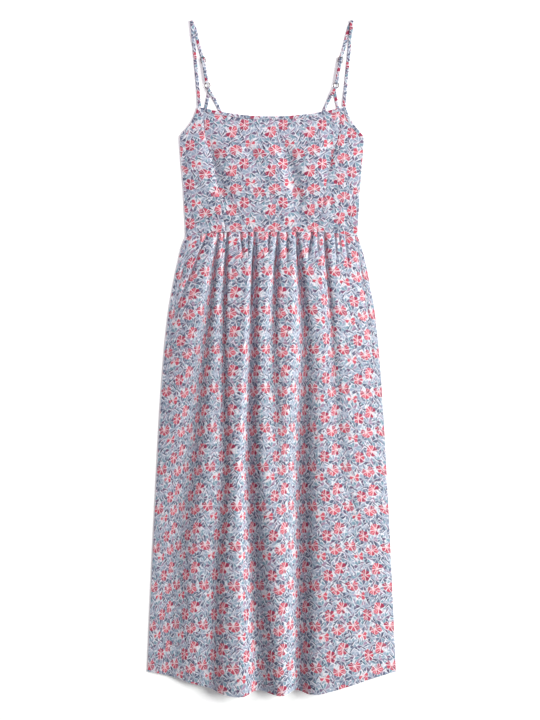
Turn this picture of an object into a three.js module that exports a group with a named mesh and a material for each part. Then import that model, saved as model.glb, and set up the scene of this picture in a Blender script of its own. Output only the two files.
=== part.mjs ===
// A strappy sundress laid out flat with its front upwards.
// Millimetres. X runs across the dress, Y up towards the straps, Z up from the surface that it lies on.
// The origin is on that surface, under the middle of the dress.

import * as THREE from "three";

// Cloth and seams
const CLOTH = 1.2; // wall of a panel
const SEAM_GAP = 0.3; // space between pieces that are sewn together
const FRONT_REST = CLOTH + SEAM_GAP; // underside of the front where it lies on the back

// Lines across the dress, by their Y
const CORNER_Y = 466.5;
const NECK_Y = 448;
const BACK_NECK_Y = 440;
const UNDERARM_Y = 407.5;
const WAIST_Y = 235;

// Bodice
const WAIST_HALF = 159;
const WAIST_SIDE_DROP = 9; // the waist seam falls this much at the side seams
const WAIST_POWER = 5;
const NECK_RISE = 18; // from the middle of the neckline up to its corners
const NECK_HALF = 133.4; // middle of a strap where it leaves its corner
const BACK_CORNER = { x: 128, y: 450 };
const BACK_INSET = 1; // the back stays this far inside the front's outline
const BINDING = { width: 5.5, thick: 0.9, neckHalf: 128.8 };

// Half width of the front bodice: the side seam up to the underarm, then the armhole
const BODICE_OUTLINE = [
  { y: 226, half: 159 },
  { y: 244, half: 159.3 },
  { y: 281, half: 161.5 },
  { y: 318, half: 163.5 },
  { y: 371, half: 168 },
  { y: 407.5, half: 170.2 },
  { y: 415, half: 166.8 },
  { y: 430, half: 154.2 },
  { y: 439, half: 148 },
  { y: 451, half: 141.8 },
  { y: 466.5, half: 136.8 },
];
// Distance of each princess seam from the middle of the front
const PRINCESS_SEAM = [
  { y: 235, x: 83 },
  { y: 267, x: 91 },
  { y: 354, x: 105.5 },
  { y: 424, x: 124 },
  { y: 466, x: 127 },
];
// How far the front bodice stands off the back along its middle
const BODICE_CROWN = [
  { y: 226, lift: 5 },
  { y: 290, lift: 7 },
  { y: 370, lift: 8.5 },
  { y: 430, lift: 4 },
  { y: 468, lift: 1 },
];
const BODICE_ARCH = 3; // power of the fall towards the side seams
// Soft creases down the front bodice. Path is the trough's X at its start, middle and end, depth its share
// of the cloth's height and width its breadth at half depth.
const CREASE_STATIONS = [0, 0.5, 1];
const CREASE_FADE = 0.15; // share of its length by which a crease runs on past each end
const BODICE_CREASES = [
  { from: 424, to: 300, path: [-122, -108, -94], depth: 0.75, width: 22 },
  { from: 330, to: 262, path: [-96, -84, -66], depth: 0.3, width: 18 },
  { from: 404, to: 268, path: [18, 38, 48], depth: 0.7, width: 24 },
  { from: 424, to: 338, path: [116, 107, 99], depth: 0.55, width: 18 },
  { from: 404, to: 350, path: [-48, -37, -26], depth: 0.35, width: 18 },
];
// Shares of the height, which the three front panels and the bindings share so that their seams run together
const BODICE_ROWS = [0, 0.12, 0.25, 0.38, 0.5, 0.62, 0.7, 0.755, 0.79, 0.83, 0.875, 0.92, 0.96, 1];
const ARMHOLE_ROWS = [0.765, 0.79, 0.83, 0.875, 0.92, 0.96, 0.995];

// Skirt
const SKIRT_SIDE = 803; // waist to hem along a side seam
const SKIRT_MIDDLE = 845; // waist to hem down the middle
const HEM_FLAT = 0.3; // share of the half width that has the middle's full length
const HEM_POWER = 1.8;
const HEM_SWING = 10; // a full fold carries the hem this much lower
const HEM_SWING_POWER = 6;
const BACK_HEM_SHORT = 6;
const SKIRT_SEAM_LIFT = 5;
const SKIRT_CROWN = 27; // how far the front skirt stands off the back between its folds
const SKIRT_RISE = 75; // length over which it rises from the waist seam
// Powers of the fall towards the side seams: the left slopes evenly, the right stays full for longer
const SKIRT_ARCH = { left: 1.65, right: 2.73 };
const SKIRT_OUTLINE = [
  { down: 0, half: 159 },
  { down: 10, half: 163.5 },
  { down: 24, half: 168 },
  { down: 45, half: 172.5 },
  { down: 67, half: 177.5 },
  { down: 152, half: 192 },
  { down: 274, half: 203 },
  { down: 459, half: 213.5 },
  { down: 644, half: 222.5 },
  { down: 803, half: 229.4 },
];
// Folds of the front skirt, in order along X. Path is the X of the trough, and depth its share of the
// cloth's height, at 0, 1/4, 1/2, 3/4 and all of the length. Width is the trough's at half depth, at the
// waist, the middle and the hem. Reach is the share of the length where it has run out. A trough with skew
// above 0 is wider on its right.
const STATIONS = [0, 0.25, 0.5, 0.75, 1];
const WIDTH_STATIONS = [0, 0.5, 1];
const FRONT_FOLDS = [
  {
    path: [-148, -192, -200, -210, -218], depth: [0.62, 0.35, 0.11, 0, 0], width: [8, 15, 21],
    reach: 0.6, skew: 0,
  },
  {
    path: [-125, -172, -188, -199, -207], depth: [0.65, 0.4, 0, 0, 0], width: [6, 11, 11],
    reach: 0.2, skew: 0,
  },
  {
    path: [-100, -128, -158, -186, -196], depth: [0.72, 0.51, 0.78, 0.93, 0.93], width: [8, 48, 73],
    reach: 2, skew: -0.2,
  },
  {
    path: [-84, -92, -93, -110, -121], depth: [0.75, 0.3, 0.4, 0.48, 0.57], width: [7, 30, 52],
    reach: 2, skew: -0.34,
  },
  { path: [-57, -58, -58, -56, -52], depth: [0.7, 0.3, 0, 0, 0], width: [6, 8, 8], reach: 0.1, skew: 0 },
  {
    path: [-33, -40, -45, -38, -25], depth: [0.75, 0.48, 0.66, 0.78, 0.93], width: [8, 23, 40],
    reach: 2, skew: 0.28,
  },
  { path: [-8, -12, -10, 1, 14], depth: [0.6, 0.3, 0, 0, 0], width: [6, 8, 8], reach: 0.09, skew: 0 },
  { path: [9, -1, 11, 28, 30], depth: [0.75, 0.27, 0.35, 0, 0], width: [7, 30, 20], reach: 0.8, skew: 0 },
  { path: [27, 26, 32, 38, 40], depth: [0.65, 0.3, 0, 0, 0], width: [6, 8, 8], reach: 0.1, skew: 0 },
  {
    path: [46, 55, 48, 47, 45], depth: [0.6, 0.48, 0.81, 0.93, 0.93], width: [7, 36, 33],
    reach: 2, skew: 0.15,
  },
  { path: [73, 70, 80, 85, 88], depth: [0.7, 0.3, 0, 0, 0], width: [6, 8, 8], reach: 0.13, skew: 0 },
  { path: [84, 90, 104, 112, 118], depth: [0.6, 0.3, 0, 0, 0], width: [6, 8, 8], reach: 0.09, skew: 0 },
  {
    path: [98, 108, 127, 161, 178], depth: [0.7, 0.26, 0.22, 0.2, 0.32], width: [7, 25, 25],
    reach: 1, skew: -0.14,
  },
  { path: [127, 146, 163, 184, 198], depth: [0.65, 0.3, 0, 0, 0], width: [6, 9, 9], reach: 0.16, skew: 0 },
  { path: [150, 184, 197, 206, 214], depth: [0.6, 0.35, 0.1, 0, 0], width: [7, 16, 16], reach: 0.5, skew: 0 },
];
const FOLD_STEPS = [0, 0.13, 0.3, 0.5, 0.7, 0.87]; // columns from one trough to the next
const FRONT_ROWS = [
  0, 0.012, 0.028, 0.05, 0.08, 0.115, 0.16, 0.22, 0.3, 0.4, 0.5, 0.6, 0.7, 0.79, 0.87, 0.94, 1,
];
// Gathers of the back skirt, which are grooves in the side that it lies on
const BACK_GATHERS = { count: 14, rise: 1.3, reach: 0.11, columnsEach: 4 };
const BACK_ROWS = [0, 0.018, 0.04, 0.07, 0.11, 0.18, 0.3, 0.5, 0.75, 1];

// Straps and their hardware. Routes are for the left strap, and the right one mirrors them.
// Lean is how far the strap's width is turned from X, in degrees.
const STRAP = { width: 6.2, thick: 1 };
const LOOP = { width: 5.8, thick: 1 };
const RING = { x: -119, y: 506.4, z: 2.2, radius: 5, wire: 0.8, seat: 3.9, clear: 1.6, lead: 4 };
const SLIDER = {
  x: -127.2, y: 553.6, z: 2.2, lean: 11.5, thick: 1, window: 3.4, across: 7.6, bar: 1.2, round: 1.4,
};
const LAY = 0.6; // middle of a strap that lies on the surface
const FOLD_TOP = 2.2; // middle of a strap that lies on another
const TURN_STEPS = 6;
const STRAP_FRONT_RUN = [
  { x: -133.4, y: 467, z: 2.1, lean: 5.3 },
  { x: -135.3, y: 488, z: 1.1, lean: 5.3 },
  { x: -137.9, y: 516, z: LAY, lean: 5.3 },
  { x: -140.8, y: 547, z: LAY, lean: 5.3 },
  { x: -143.4, y: 575, z: LAY, lean: 5.3 },
  { x: -145.1, y: 593, z: 2.1, lean: 5.5 },
  { x: -146.5, y: 608, z: FOLD_TOP, lean: 6.5 },
];
const STRAP_FOLD = { x: -148.2, y: 625.6, lean: 10 };
const STRAP_BACK_RUN = [
  { x: -143.8, y: 616, z: LAY, lean: 15 },
  { x: -139.2, y: 599, z: LAY, lean: 15 },
  { x: -134.2, y: 578, z: LAY, lean: 14 },
  { x: -130, y: 563.5, z: LAY, lean: 13 },
];
// Along the strap from the slider's middle bar
const STRAP_OVER_SLIDER = [
  { along: 5, z: LAY },
  { along: 3.7, z: 0.7 },
  { along: 2.4, z: 2.1 },
  { along: 1.1, z: 3.4 },
  { along: -0.2, z: 3.6 },
  { along: -6, z: 3.6 },
];
const STRAP_END_RUN = [-8, 0.4]; // the strap's end under the slider, from its middle bar
const STRAP_LEAN_AT_RING = 10;
const LOOP_LEAN_AT_RING = 18;
const LOOP_INNER_LEG = [
  { x: -91.3, y: 447.3, z: LAY, lean: 24 },
  { x: -95, y: 456, z: LAY, lean: 24 },
  { x: -100, y: 468, z: LAY, lean: 24 },
  { x: -105, y: 478.5, z: 1, lean: 24 },
  { x: -110, y: 488, z: 2.3, lean: 23 },
];
const LOOP_OUTER_LEG = [
  { x: -116.6, y: 493, z: LAY, lean: 4 },
  { x: -118, y: 485, z: LAY, lean: -8 },
  { x: -121.2, y: 470, z: LAY, lean: -13 },
  { x: -125.4, y: 451.3, z: LAY, lean: -13 },
];

// Finishes
const floralCotton = new THREE.MeshStandardMaterial({ color: 0xc1b8c4, roughness: 0.85, metalness: 0 });
const strapCotton = new THREE.MeshStandardMaterial({ color: 0xb5adba, roughness: 0.85, metalness: 0 });
const strapMetal = new THREE.MeshStandardMaterial({ color: 0x998b89, roughness: 0.35, metalness: 1 });

const lerp = THREE.MathUtils.lerp;
const clamp01 = (t) => THREE.MathUtils.clamp(t, 0, 1);

/** A smooth curve through the points (at, value) that overshoots none of them, and level beyond its ends. */
function curveThrough(at, value) {
  const last = at.length - 1;
  const chord = at.slice(1).map((x, i) => (value[i + 1] - value[i]) / (x - at[i]));
  const tangent = at.map((_, i) => {
    if (i === 0 || i === last) return chord[Math.min(i, last - 1)];
    const [before, after] = [chord[i - 1], chord[i]];
    return before * after > 0 ? (2 * before * after) / (before + after) : 0;
  });
  return (x) => {
    if (x <= at[0]) return value[0];
    if (x >= at[last]) return value[last];
    const i = at.findIndex((next) => next > x) - 1;
    const step = at[i + 1] - at[i];
    const t = (x - at[i]) / step;
    const ease = t * t * (3 - 2 * t);
    const leave = step * tangent[i] * t * (1 - t) ** 2;
    const arrive = step * tangent[i + 1] * t * t * (t - 1);
    return lerp(value[i], value[i + 1], ease) + leave + arrive;
  };
}

const column = (table, name) => table.map((row) => row[name]);
const curveOf = (table, from, to) => curveThrough(column(table, from), column(table, to));

/** A closed solid from its corners and triangles, turned so that its faces point out. */
function solid(points, triangles) {
  let volume = 0;
  for (const [a, b, c] of triangles) volume += points[a].dot(points[b].clone().cross(points[c]));
  const faces = volume > 0 ? triangles : triangles.map(([a, b, c]) => [a, c, b]);
  const geometry = new THREE.BufferGeometry().setFromPoints(points);
  geometry.setIndex(faces.flat());
  geometry.computeVertexNormals();
  return geometry;
}

/** A cloth wall between two grids of points, rows by columns, with a rim all round. */
function wall(top, under) {
  const rows = top.length;
  const columns = top[0].length;
  const points = [...top.flat(), ...under.flat()];
  const at = (layer, row, col) => layer * rows * columns + row * columns + col;
  const triangles = [];
  const quad = (a, b, c, d) => triangles.push([a, b, c], [a, c, d]);
  for (let r = 0; r + 1 < rows; r++) {
    for (let c = 0; c + 1 < columns; c++) {
      quad(at(0, r, c), at(0, r, c + 1), at(0, r + 1, c + 1), at(0, r + 1, c));
      quad(at(1, r, c), at(1, r + 1, c), at(1, r + 1, c + 1), at(1, r, c + 1));
    }
    quad(at(0, r, 0), at(0, r + 1, 0), at(1, r + 1, 0), at(1, r, 0));
    quad(at(0, r, columns - 1), at(1, r, columns - 1), at(1, r + 1, columns - 1), at(0, r + 1, columns - 1));
  }
  for (let c = 0; c + 1 < columns; c++) {
    quad(at(0, 0, c), at(1, 0, c), at(1, 0, c + 1), at(0, 0, c + 1));
    quad(at(0, rows - 1, c), at(0, rows - 1, c + 1), at(1, rows - 1, c + 1), at(1, rows - 1, c));
  }
  return solid(points, triangles);
}

/** A bar whose section, a ring of points, changes from one station to the next. */
function loft(sections) {
  const sides = sections[0].length;
  const triangles = [];
  for (let s = 0; s + 1 < sections.length; s++) {
    for (let k = 0; k < sides; k++) {
      const [a, b] = [s * sides + k, s * sides + ((k + 1) % sides)];
      triangles.push([a, b, b + sides], [a, b + sides, a + sides]);
    }
  }
  const cap = THREE.ShapeUtils.triangulateShape(capOutline(sections[0]), []);
  const end = (sections.length - 1) * sides;
  for (const [a, b, c] of cap) triangles.push([a, c, b], [end + a, end + b, end + c]);
  return solid(sections.flat(), triangles);
}

/** A ring of points seen along its own normal, for filling it with triangles. */
function capOutline(ring) {
  const normal = new THREE.Vector3();
  ring.forEach((p, i) => normal.add(p.clone().cross(ring[(i + 1) % ring.length])));
  const turn = new THREE.Quaternion().setFromUnitVectors(normal.normalize(), new THREE.Vector3(0, 0, 1));
  return ring.map((p) => {
    const q = p.clone().applyQuaternion(turn);
    return new THREE.Vector2(q.x, q.y);
  });
}

function piece(name, geometry, material) {
  const mesh = new THREE.Mesh(geometry, material);
  mesh.name = name;
  return mesh;
}

// The bodice's outlines and height
const bodiceHalf = curveOf(BODICE_OUTLINE, "y", "half");
const princessSeam = curveOf(PRINCESS_SEAM, "y", "x");
const bodiceCrown = curveOf(BODICE_CROWN, "y", "lift");
const neckline = (x) => NECK_Y + NECK_RISE * (x / NECK_HALF) ** 2;
const waistSeam = (x) => WAIST_Y - WAIST_SIDE_DROP * Math.abs(x / WAIST_HALF) ** WAIST_POWER;

const creases = BODICE_CREASES.map((row) => ({ ...row, x: curveThrough(CREASE_STATIONS, row.path) }));

/** Share of the bodice's height that the creases leave at a place. */
function creaseShare(x, y) {
  return creases.reduce((left, crease) => {
    const along = (crease.from - y) / (crease.from - crease.to);
    const run = clamp01((along + CREASE_FADE) / (1 + 2 * CREASE_FADE));
    const away = (x - crease.x(along)) / crease.width;
    return left * (1 - crease.depth * Math.sin(Math.PI * run) * Math.exp(-4 * Math.LN2 * away * away));
  }, 1);
}

/** Height of the front bodice's underside. */
function bodiceUnder(x, y) {
  const across = clamp01(Math.abs(x) / bodiceHalf(y));
  return FRONT_REST + bodiceCrown(y) * (1 - across ** BODICE_ARCH) * creaseShare(x, y);
}

/** The wall of a front bodice panel over a grid of places in plan. */
function bodiceWall(plan) {
  const under = plan.map((row) => row.map(({ x, y }) => new THREE.Vector3(x, y, bodiceUnder(x, y))));
  const top = under.map((row) => row.map((p) => p.clone().setZ(p.z + CLOTH)));
  return wall(top, under);
}

const steps = (count) => Array.from({ length: count + 1 }, (_, i) => i / count);

function frontCentre() {
  const columns = 24;
  const plan = BODICE_ROWS.map((up) =>
    steps(columns).map((across) => {
      const seam = princessSeam(lerp(WAIST_Y, neckline(NECK_HALF), up)) - SEAM_GAP / 2;
      const x = lerp(-seam, seam, across);
      return { x, y: lerp(waistSeam(x), neckline(x), up) };
    }),
  );
  return bodiceWall(plan);
}

/** A place on the front's side edge, at a share of its height. */
function sideEdge(up) {
  const y = lerp(waistSeam(WAIST_HALF), CORNER_Y, up);
  return new THREE.Vector2(bodiceHalf(y), y);
}

function frontSide(side) {
  const columns = 8;
  const plan = BODICE_ROWS.map((up) => {
    const seam = princessSeam(lerp(WAIST_Y, neckline(NECK_HALF), up)) + SEAM_GAP / 2;
    const inner = { x: seam, y: lerp(waistSeam(seam), neckline(seam), up) };
    const outer = sideEdge(up);
    return steps(columns).map((out) => {
      const x = lerp(inner.x, outer.x, out);
      const bow = waistSeam(x) - lerp(waistSeam(inner.x), waistSeam(outer.x), out);
      return { x: side * x, y: lerp(inner.y, outer.y, out) + bow * (1 - up) ** 2 };
    });
  });
  return bodiceWall(plan);
}

/** The plain back: a side seam up to the underarm, an armhole, and a top edge below the neckline. */
function backBodice() {
  const [rows, columns] = [9, 24];
  const sideShare = 2 / 3;
  const armhole = new THREE.QuadraticBezierCurve(
    new THREE.Vector2(bodiceHalf(UNDERARM_Y) - BACK_INSET, UNDERARM_Y - BACK_INSET),
    new THREE.Vector2(BACK_CORNER.x + BACK_INSET, UNDERARM_Y),
    new THREE.Vector2(BACK_CORNER.x, BACK_CORNER.y),
  );
  const foot = waistSeam(WAIST_HALF);
  const edge = (up) => {
    if (up > sideShare) return armhole.getPoint((up - sideShare) / (1 - sideShare));
    const y = lerp(foot, UNDERARM_Y - BACK_INSET, up / sideShare);
    return new THREE.Vector2(bodiceHalf(y) - BACK_INSET, y);
  };
  const flat = (z) =>
    steps(rows).map((up) => {
      const corner = edge(up);
      const middle = lerp(WAIST_Y, BACK_NECK_Y, up);
      const power = lerp(WAIST_POWER, 2, up);
      return steps(columns).map((across) => {
        const q = lerp(-1, 1, across);
        return new THREE.Vector3(q * corner.x, lerp(middle, corner.y, Math.abs(q) ** power), z);
      });
    });
  return wall(flat(CLOTH), flat(0));
}

/** A folded binding over an edge of the front: a strip on the outside that turns down past the edge. */
function binding(edge) {
  const sections = edge.map((p, i) => {
    const before = edge[Math.max(i - 1, 0)];
    const after = edge[Math.min(i + 1, edge.length - 1)];
    const along = after.clone().sub(before).normalize();
    const out = new THREE.Vector2(-along.y, along.x);
    const inside = p.clone().addScaledVector(out, -BINDING.width);
    const under = bodiceUnder(p.x, p.y);
    const seat = under + CLOTH + SEAM_GAP;
    const innerSeat = bodiceUnder(inside.x, inside.y) + CLOTH + SEAM_GAP;
    const corner = (away, z) => {
      const q = p.clone().addScaledVector(out, away);
      return new THREE.Vector3(q.x, q.y, z);
    };
    const face = SEAM_GAP + BINDING.thick;
    return [
      corner(-BINDING.width, innerSeat),
      corner(-BINDING.width, innerSeat + BINDING.thick),
      corner(face, seat + BINDING.thick),
      corner(face, under),
      corner(SEAM_GAP, under),
      corner(SEAM_GAP, seat),
    ];
  });
  return loft(sections);
}

function necklineBinding() {
  const edge = steps(24).map((across) => {
    const x = lerp(-BINDING.neckHalf, BINDING.neckHalf, across);
    return new THREE.Vector2(x, neckline(x));
  });
  return binding(edge);
}

/** Runs along the side panel's own rows. */
function armholeBinding(side) {
  const upwards = ARMHOLE_ROWS.map((up) => {
    const next = BODICE_ROWS.findIndex((row) => row >= up);
    const [low, high] = [BODICE_ROWS[next - 1], BODICE_ROWS[next]];
    const edge = sideEdge(low).lerp(sideEdge(high), (up - low) / (high - low));
    return new THREE.Vector2(side * edge.x, edge.y);
  });
  return binding(side < 0 ? upwards : upwards.reverse());
}

// The skirt's outline and height, by a share across, from -1 to 1, and a share down its length
const skirtHalf = curveOf(SKIRT_OUTLINE, "down", "half");
const folds = FRONT_FOLDS.map((row) => ({
  x: curveThrough(STATIONS, row.path),
  depth: curveThrough(STATIONS, row.depth),
  width: curveThrough(WIDTH_STATIONS, row.width),
  reach: row.reach,
  skew: row.skew,
}));

function skirtLength(across) {
  const past = Math.max(0, Math.abs(across) - HEM_FLAT) / (1 - HEM_FLAT);
  return lerp(SKIRT_MIDDLE, SKIRT_SIDE, past ** HEM_POWER);
}

/** Share of the cloth's height that the folds leave at a place. */
function foldShare(x, down) {
  return folds.reduce((left, fold) => {
    const fade = clamp01(1 - down / fold.reach) ** 0.5;
    const straight = (x - fold.x(down)) / fold.width(down);
    const away = straight / (1 + fold.skew * Math.tanh(2 * straight));
    return left * (1 - fold.depth(down) * fade * Math.exp(-4 * Math.LN2 * away * away));
  }, 1);
}

/** How far the back's gathers lift it off the surface. */
function gatherRise(across, down) {
  const fade = clamp01(1 - down / BACK_GATHERS.reach) ** 2;
  const wave = Math.sin((Math.PI * BACK_GATHERS.count * (across + 1)) / 2) ** 4;
  return BACK_GATHERS.rise * fade * wave;
}

function frontSkirtUnder(across, down) {
  const x = across * skirtHalf(down * SKIRT_SIDE);
  const risen = 1 - Math.exp((-down * SKIRT_MIDDLE) / SKIRT_RISE);
  const arch = 1 - Math.abs(across) ** (across < 0 ? SKIRT_ARCH.left : SKIRT_ARCH.right);
  const crown = lerp(SKIRT_SEAM_LIFT, SKIRT_CROWN, risen) * arch;
  const share = foldShare(x, down);
  const swing = HEM_SWING * down ** HEM_SWING_POWER * share * arch;
  const y = waistSeam(across * WAIST_HALF) - SEAM_GAP - down * skirtLength(across) - swing;
  return new THREE.Vector3(x, y, FRONT_REST + gatherRise(across, down) + crown * share);
}

/** Shares across the front at one row, so that its columns run along the folds. */
function foldColumns(down) {
  const half = skirtHalf(down * SKIRT_SIDE);
  const marks = [-1, ...folds.map((fold) => fold.x(down) / half), 1];
  const spread = marks.slice(1).flatMap((next, i) => FOLD_STEPS.map((step) => lerp(marks[i], next, step)));
  return [...spread, 1];
}

/** A grid moved out by the cloth's thickness, square to the cloth. Its first row keeps to the seam. */
function movedOut(grid) {
  const between = (row, col) => grid[THREE.MathUtils.clamp(row, 0, grid.length - 1)][
    THREE.MathUtils.clamp(col, 0, grid[0].length - 1)
  ];
  return grid.map((row, r) =>
    row.map((p, c) => {
      const along = between(r, c + 1).clone().sub(between(r, c - 1));
      const down = between(r + 1, c).clone().sub(between(r - 1, c));
      const out = down.cross(along).normalize();
      if (r === 0) out.setY(0).normalize();
      return p.clone().addScaledVector(out, CLOTH);
    }),
  );
}

function frontSkirt() {
  const under = FRONT_ROWS.map((down) => foldColumns(down).map((across) => frontSkirtUnder(across, down)));
  return wall(movedOut(under), under);
}

function backSkirt() {
  const columns = steps(BACK_GATHERS.count * BACK_GATHERS.columnsEach).map((share) => lerp(-1, 1, share));
  const layer = (lift) =>
    BACK_ROWS.map((down) =>
      columns.map((across) => {
        const y = waistSeam(across * WAIST_HALF) - SEAM_GAP - down * (skirtLength(across) - BACK_HEM_SHORT);
        const x = across * (skirtHalf(down * SKIRT_SIDE) - BACK_INSET);
        return new THREE.Vector3(x, y, lift + gatherRise(across, down));
      }),
    );
  return wall(layer(CLOTH), layer(0));
}

// Straps, which are flat bands along a route
const widthOf = (lean) => {
  const turn = THREE.MathUtils.degToRad(lean);
  return new THREE.Vector3(Math.cos(turn), Math.sin(turn), 0);
};

/** A half turn over an edge, from the top layer down to the lower one, or back up. */
function halfTurn(at, fromZ, toZ, towards) {
  const radius = Math.abs(fromZ - toZ) / 2;
  const width = widthOf(at.lean);
  const ahead = new THREE.Vector3(-width.y, width.x, 0).multiplyScalar(towards);
  return steps(TURN_STEPS).map((share) => {
    const angle = Math.PI * share;
    const reach = radius * Math.sin(angle);
    const z = (fromZ + toZ) / 2 + ((fromZ - toZ) / 2) * Math.cos(angle);
    return { x: at.x + ahead.x * reach, y: at.y + ahead.y * reach, z, lean: at.lean };
  });
}

/** A band of a width and thickness along its stations. */
function band(route, size) {
  const centre = route.map(({ x, y, z }) => new THREE.Vector3(x, y, z));
  const sections = route.map(({ lean }, i) => {
    const before = centre[Math.max(i - 1, 0)];
    const after = centre[Math.min(i + 1, centre.length - 1)];
    const across = widthOf(lean);
    const out = after.clone().sub(before).cross(across).normalize();
    const corner = (side, face) =>
      centre[i]
        .clone()
        .addScaledVector(across, (side * size.width) / 2)
        .addScaledVector(out, (face * size.thick) / 2);
    return [corner(-1, -1), corner(1, -1), corner(1, 1), corner(-1, 1)];
  });
  return loft(sections);
}

/** A place beside the ring or slider, so far along the direction square to a lean. */
function alongFrom(centre, lean, distance, z) {
  const width = widthOf(lean);
  return { x: centre.x - width.y * distance, y: centre.y + width.x * distance, z, lean };
}

const mirrored = (route, side) => route.map((p) => (side < 0 ? p : { ...p, x: -p.x, lean: -p.lean }));

/** One strap: up from its corner, over the fold, down through slider and ring, and back under the slider. */
function strapRoute() {
  const [ringTop, ringLow] = [RING.z + RING.clear, RING.z - RING.clear];
  const overSlider = STRAP_OVER_SLIDER.map(({ along, z }) => alongFrom(SLIDER, SLIDER.lean, along, z));
  const aboveRing = alongFrom(RING, STRAP_LEAN_AT_RING, RING.seat + RING.lead, ringTop);
  const seat = alongFrom(RING, STRAP_LEAN_AT_RING, RING.seat, ringTop);
  return [
    ...STRAP_FRONT_RUN,
    ...halfTurn(STRAP_FOLD, FOLD_TOP, LAY, 1),
    ...STRAP_BACK_RUN,
    ...overSlider,
    aboveRing,
    ...halfTurn(seat, ringTop, ringLow, -1),
    { ...aboveRing, z: ringLow },
    ...STRAP_END_RUN.map((along) => alongFrom(SLIDER, SLIDER.lean, along, LAY)),
  ];
}

/** The band through the ring whose two legs are sewn to the back. */
function loopRoute() {
  const [ringTop, ringLow] = [RING.z + RING.clear, RING.z - RING.clear];
  const below = alongFrom(RING, LOOP_LEAN_AT_RING, -RING.seat - RING.lead, ringTop);
  const seat = alongFrom(RING, LOOP_LEAN_AT_RING, -RING.seat, ringTop);
  const turn = halfTurn(seat, ringTop, ringLow, 1);
  return [...LOOP_INNER_LEG, below, ...turn, { ...below, z: ringLow }, ...LOOP_OUTER_LEG];
}

function ring() {
  return new THREE.TorusGeometry(RING.radius, RING.wire, 8, 20);
}

/** A frame with three bars, cut from one plate. */
function slider() {
  const halfAcross = SLIDER.across / 2 + SLIDER.bar;
  const halfAlong = SLIDER.window + SLIDER.bar * 1.5;
  const plate = new THREE.Shape();
  const r = SLIDER.round;
  plate.moveTo(-halfAcross + r, -halfAlong);
  plate.lineTo(halfAcross - r, -halfAlong);
  plate.absarc(halfAcross - r, -halfAlong + r, r, -Math.PI / 2, 0);
  plate.lineTo(halfAcross, halfAlong - r);
  plate.absarc(halfAcross - r, halfAlong - r, r, 0, Math.PI / 2);
  plate.lineTo(-halfAcross + r, halfAlong);
  plate.absarc(-halfAcross + r, halfAlong - r, r, Math.PI / 2, Math.PI);
  plate.lineTo(-halfAcross, -halfAlong + r);
  plate.absarc(-halfAcross + r, -halfAlong + r, r, Math.PI, 1.5 * Math.PI);
  for (const up of [-1, 1]) {
    const low = up * (SLIDER.bar / 2 + SLIDER.window / 2) - SLIDER.window / 2;
    const hole = new THREE.Path();
    hole.moveTo(-SLIDER.across / 2, low);
    hole.lineTo(-SLIDER.across / 2, low + SLIDER.window);
    hole.lineTo(SLIDER.across / 2, low + SLIDER.window);
    hole.lineTo(SLIDER.across / 2, low);
    hole.closePath();
    plate.holes.push(hole);
  }
  const settings = { depth: SLIDER.thick, bevelEnabled: false, curveSegments: 3 };
  const geometry = new THREE.ExtrudeGeometry(plate, settings);
  return geometry.translate(0, 0, -SLIDER.thick / 2);
}

const bodice = new THREE.Group();
bodice.add(
  piece("front_bodice_centre", frontCentre(), floralCotton),
  piece("back_bodice", backBodice(), floralCotton),
  piece("neckline_binding", necklineBinding(), floralCotton),
);
const skirt = new THREE.Group();
skirt.add(piece("front_skirt", frontSkirt(), floralCotton), piece("back_skirt", backSkirt(), floralCotton));

const straps = new THREE.Group();
for (const [side, name] of [
  [-1, "left"],
  [1, "right"],
]) {
  bodice.add(
    piece(`front_bodice_${name}`, frontSide(side), floralCotton),
    piece(`armhole_binding_${name}`, armholeBinding(side), floralCotton),
  );
  const hoop = piece(`strap_ring_${name}`, ring(), strapMetal);
  hoop.position.set(-side * RING.x, RING.y, RING.z);
  const slide = piece(`strap_slider_${name}`, slider(), strapMetal);
  slide.position.set(-side * SLIDER.x, SLIDER.y, SLIDER.z);
  slide.rotation.z = -side * THREE.MathUtils.degToRad(SLIDER.lean);
  straps.add(
    piece(`strap_${name}`, band(mirrored(strapRoute(), side), STRAP), strapCotton),
    piece(`strap_loop_${name}`, band(mirrored(loopRoute(), side), LOOP), strapCotton),
    hoop,
    slide,
  );
}

const sundress = new THREE.Group();
sundress.add(bodice, skirt, straps);

export default sundress;
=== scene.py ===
# %% [markdown]
# # A sundress laid out flat
# This lesson dresses a plain model of a sundress in Blender. The model comes in as a fixed frame of closed
# solids, and the cells below make the pieces of cloth, trim and metal that take their place. Tables are in
# millimetres and meshes in metres, in the frame's own axes: X across the dress, Y towards the straps, Z up.

# %% The frame
import math
from functools import partialmethod

import bpy
import numpy as np
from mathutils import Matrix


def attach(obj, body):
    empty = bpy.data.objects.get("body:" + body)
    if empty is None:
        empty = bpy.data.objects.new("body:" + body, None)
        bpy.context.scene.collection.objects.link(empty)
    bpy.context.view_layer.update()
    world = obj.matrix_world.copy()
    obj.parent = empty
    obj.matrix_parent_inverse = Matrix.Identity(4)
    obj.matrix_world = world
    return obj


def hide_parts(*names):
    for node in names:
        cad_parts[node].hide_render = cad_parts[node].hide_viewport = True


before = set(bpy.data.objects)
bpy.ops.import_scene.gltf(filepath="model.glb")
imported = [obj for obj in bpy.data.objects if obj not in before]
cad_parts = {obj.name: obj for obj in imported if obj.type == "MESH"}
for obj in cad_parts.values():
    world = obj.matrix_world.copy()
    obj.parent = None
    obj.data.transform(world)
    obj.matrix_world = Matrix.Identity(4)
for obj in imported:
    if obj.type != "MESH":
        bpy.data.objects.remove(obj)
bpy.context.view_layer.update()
print("solids in the frame:", len(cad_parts))

# %% [markdown]
# ## The camera
# The dress lies on the ground and is seen from straight above, so the camera needs no turn: Blender's camera
# looks down -Z with +Y up. A long lens from three metres keeps the perspective gentle.

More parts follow.
